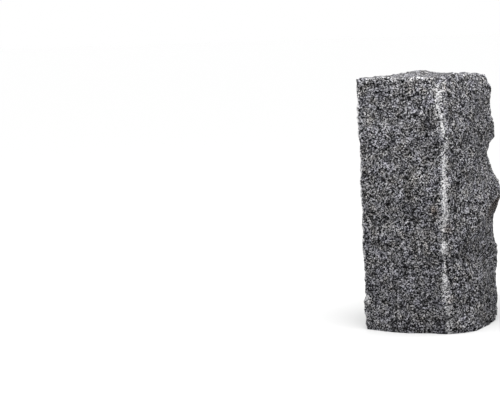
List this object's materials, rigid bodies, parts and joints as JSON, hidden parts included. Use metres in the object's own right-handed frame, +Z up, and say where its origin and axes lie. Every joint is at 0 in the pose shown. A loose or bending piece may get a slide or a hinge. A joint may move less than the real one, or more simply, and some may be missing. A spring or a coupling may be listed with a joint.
{
  "type": "split granite garden block",
  "caption": "Rough grey granite block stood on end, with wavy split sides, bruised uneven arrises, an uneven top and a level foot, for edging, low walls and palisade rows.",
  "frame": {"origin": "on the floor, under the middle of the block's bounding box", "axes": "+Z up along the block's length, +X along its narrow way towards the right-hand split side, front split side towards -Y"},
  "size_m": [0.1786, 0.2167, 0.4083],
  "materials": {
    "granite": "rough split"
  },
  "bodies": {
    "root": {"block": "granite"}
  },
  "joints": []
}
